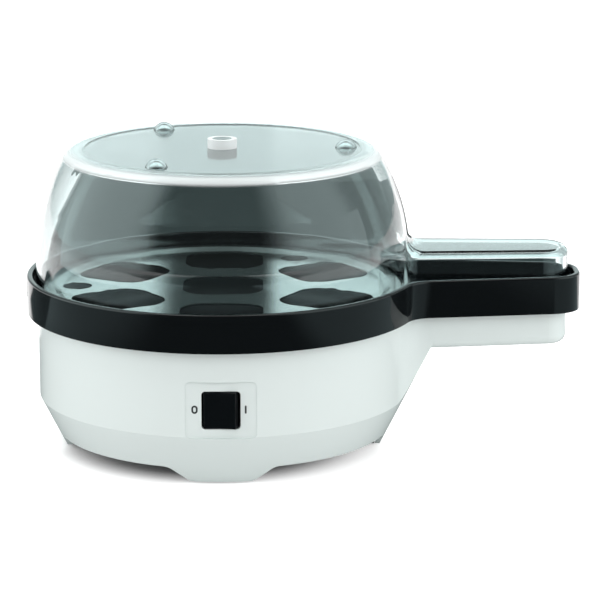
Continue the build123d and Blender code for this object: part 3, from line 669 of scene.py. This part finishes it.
# Lid
# Clear plastic, moulded in one: dome, handle cover, steam vent and three hollow bumps.
# A slight haze roughens the sunk disc for its soft grey. White diffuse mixed in on the shoulder
# and round the vent is a painted highlight, for the bright lines that the clear plastic catches there.
lid_tint = (0.87, 0.92, 0.92)
lid_index = 1.49
# Painted highlight: white diffuse mixed into the plastic on the shoulder and the vent's ring.
painted_highlight_white = (0.92, 0.95, 0.95)
disc_level = 145.15 * mm
disc_radius = 66.4 * mm
disc_haze = 0.08
haze_scale = 260.0
vent_radius = 7.1 * mm
vent_cup_radius = 4.65 * mm
# Share of painted highlight on the vent's ring.
vent_painted_highlight = 0.85
shoulder_low = 141.2 * mm
shoulder_high = 144.6 * mm
shoulder_fade = 1.0 * mm
# Share of painted highlight on the shoulder.
shoulder_painted_highlight = 0.5
mask_step = 0.1 * mm
bump_count = 3
bump_circle = 59.5 * mm
bump_radius = 5.3 * mm
bump_height = 4.0 * mm
bump_wall = 1.5 * mm
bump_ball = (bump_radius ** 2 + bump_height ** 2) / (2 * bump_height)
ball_subdivisions = 4
weld_distance = 0.002 * mm
sharp_angle = radians(28)
corner_step = 0.001 * mm


def link_mesh(name, mesh):
    """An object of the scene with this mesh."""
    piece = bpy.data.objects.new(name, mesh)
    bpy.context.scene.collection.objects.link(piece)
    return piece


def welded_lid():
    """The CAD lid's form as one closed mesh of its own."""
    shell = bmesh.new()
    shell.from_mesh(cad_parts["lid"].data)
    bmesh.ops.remove_doubles(shell, verts=shell.verts, dist=weld_distance)
    moulded = bpy.data.meshes.new("clear_lid")
    moulded.from_pydata(
        [vertex.co for vertex in shell.verts], [],
        [[vertex.index for vertex in face.verts] for face in shell.faces],
    )
    shell.free()
    return link_mesh("clear_lid", moulded)


def bump_hollows():
    """One ball under each bump, smaller than the bump's own by its wall."""
    hollows = bmesh.new()
    for place in range(bump_count):
        angle = 2 * pi * place / bump_count
        middle = Vector((
            axis_x + bump_circle * cos(angle), bump_circle * sin(angle), disc_level + bump_height - bump_ball
        ))
        bmesh.ops.create_icosphere(
            hollows, subdivisions=ball_subdivisions, radius=bump_ball - bump_wall,
            matrix=Matrix.Translation(middle)
        )
    mesh = bpy.data.meshes.new("bump_hollows")
    hollows.to_mesh(mesh)
    hollows.free()
    return link_mesh("bump_hollows", mesh)


def corner_key(mesh, corner):
    """A corner's place, in whole steps, so that equal places can be looked up."""
    place = mesh.vertices[mesh.loops[corner].vertex_index].co
    return tuple(round(value / corner_step) for value in place)


def keep_normals(cut, whole):
    """Corners that the hollows left alone keep the normals of the smooth CAD faces."""
    known = {}
    for face in whole.polygons:
        for corner in face.loop_indices:
            pair = (face.normal, whole.corner_normals[corner].vector)
            known.setdefault(corner_key(whole, corner), []).append(pair)
    normals = []
    for face in cut.polygons:
        for corner in face.loop_indices:
            pairs = known.get(corner_key(cut, corner))
            if pairs:
                normals.append(max(pairs, key=lambda pair: pair[0].dot(face.normal))[1].copy())
            else:
                normals.append(cut.corner_normals[corner].vector.copy())
    cut.normals_split_custom_set(normals)


def hollow_lid():
    """The lid with its bumps hollowed from below, as a moulding has them."""
    lid = welded_lid()
    cutter = bump_hollows()
    cut = lid.modifiers.new("hollow", "BOOLEAN")
    cut.operation = "DIFFERENCE"
    cut.solver = "EXACT"
    cut.object = cutter
    seen = lid.evaluated_get(bpy.context.evaluated_depsgraph_get())
    cut_mesh = bpy.data.meshes.new_from_object(seen)
    lid.modifiers.clear()
    lid.data = cut_mesh
    bpy.data.objects.remove(cutter)
    cut_mesh.shade_smooth()
    cut_mesh.set_sharp_from_angle(angle=sharp_angle)
    keep_normals(cut_mesh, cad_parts["lid"].data)
    return lid


def lid_places(nodes, links):
    """The lid's own coordinates, its height and its distance from the axis."""
    where = nodes.new("ShaderNodeTexCoord")
    split = nodes.new("ShaderNodeSeparateXYZ")
    links.new(where.outputs["Object"], split.inputs[0])
    across = math_node(nodes, links, "SUBTRACT", split.outputs["X"], axis_x)
    across = math_node(nodes, links, "POWER", across, 2.0)
    along = math_node(nodes, links, "POWER", split.outputs["Y"], 2.0)
    radius = math_node(nodes, links, "POWER", math_node(nodes, links, "ADD", across, along), 0.5)
    return where.outputs["Object"], split.outputs["Z"], radius


def masked(nodes, links, level, masks):
    """A level that holds only where every mask is 1."""
    for mask in masks:
        level = math_node(nodes, links, "MULTIPLY", mask, level)
    return level


def disc_roughness(nodes, links, where, height, radius):
    """A slight uneven haze on the sunk disc."""
    speck = nodes.new("ShaderNodeTexNoise")
    speck.inputs["Scale"].default_value = haze_scale
    links.new(where, speck.inputs["Vector"])
    rough = math_node(nodes, links, "MULTIPLY", speck.outputs["Fac"], 2 * disc_haze)
    return masked(nodes, links, rough, (
        fade(nodes, links, height, disc_level - 3 * mask_step, disc_level - mask_step),
        fade(nodes, links, radius, disc_radius, disc_radius - 2 * mask_step),
    ))


def painted_highlight_amount(nodes, links, height, radius):
    """How much painted highlight, as white diffuse, the vent's ring and the shoulder have."""
    vent = masked(nodes, links, vent_painted_highlight, (
        fade(nodes, links, height, disc_level, disc_level + mask_step),
        fade(nodes, links, radius, vent_radius + 10 * mask_step, vent_radius + 5 * mask_step),
        fade(nodes, links, radius, vent_cup_radius, vent_cup_radius + 3 * mask_step),
    ))
    shoulder = masked(nodes, links, shoulder_painted_highlight, (
        fade(nodes, links, height, shoulder_low - shoulder_fade, shoulder_low + shoulder_fade),
        fade(nodes, links, height, shoulder_high + shoulder_fade, shoulder_high - shoulder_fade),
        fade(nodes, links, radius, disc_radius + 4 * mask_step, disc_radius + 12 * mask_step),
    ))
    return math_node(nodes, links, "ADD", vent, shoulder)


def make_clear_plastic():
    """Clear plastic with haze by place and a painted highlight in white diffuse, which lets the lamps' light
    through.
    """
    material, nodes, links, output = new_material("clear_plastic")
    where, height, radius = lid_places(nodes, links)
    shader = nodes.new("ShaderNodeBsdfPrincipled")
    shader.inputs["Base Color"].default_value = (*lid_tint, 1)
    shader.inputs["IOR"].default_value = lid_index
    shader.inputs["Transmission Weight"].default_value = 1.0
    links.new(disc_roughness(nodes, links, where, height, radius), shader.inputs["Roughness"])
    # White diffuse that paints the highlight on the shoulder and the vent.
    painted_highlight = nodes.new("ShaderNodeBsdfDiffuse")
    painted_highlight.inputs["Color"].default_value = (*painted_highlight_white, 1)
    painted_highlight_mix = nodes.new("ShaderNodeMixShader")
    links.new(painted_highlight_amount(nodes, links, height, radius), painted_highlight_mix.inputs["Fac"])
    links.new(shader.outputs[0], painted_highlight_mix.inputs[1])
    links.new(painted_highlight.outputs[0], painted_highlight_mix.inputs[2])
    through = nodes.new("ShaderNodeBsdfTransparent")
    through.inputs["Color"].default_value = (*(sqrt(part) for part in lid_tint), 1)
    path = nodes.new("ShaderNodeLightPath")
    either = nodes.new("ShaderNodeMixShader")
    links.new(path.outputs["Is Shadow Ray"], either.inputs["Fac"])
    links.new(painted_highlight_mix.outputs[0], either.inputs[1])
    links.new(through.outputs[0], either.inputs[2])
    links.new(either.outputs[0], output.inputs["Surface"])
    return material


clear_plastic = make_clear_plastic()
finish_node("lid", clear_plastic)
clear_lid = hollow_lid()
clear_lid.data.materials.clear()
clear_lid.data.materials.append(clear_plastic)
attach(clear_lid, "lid")
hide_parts("lid")
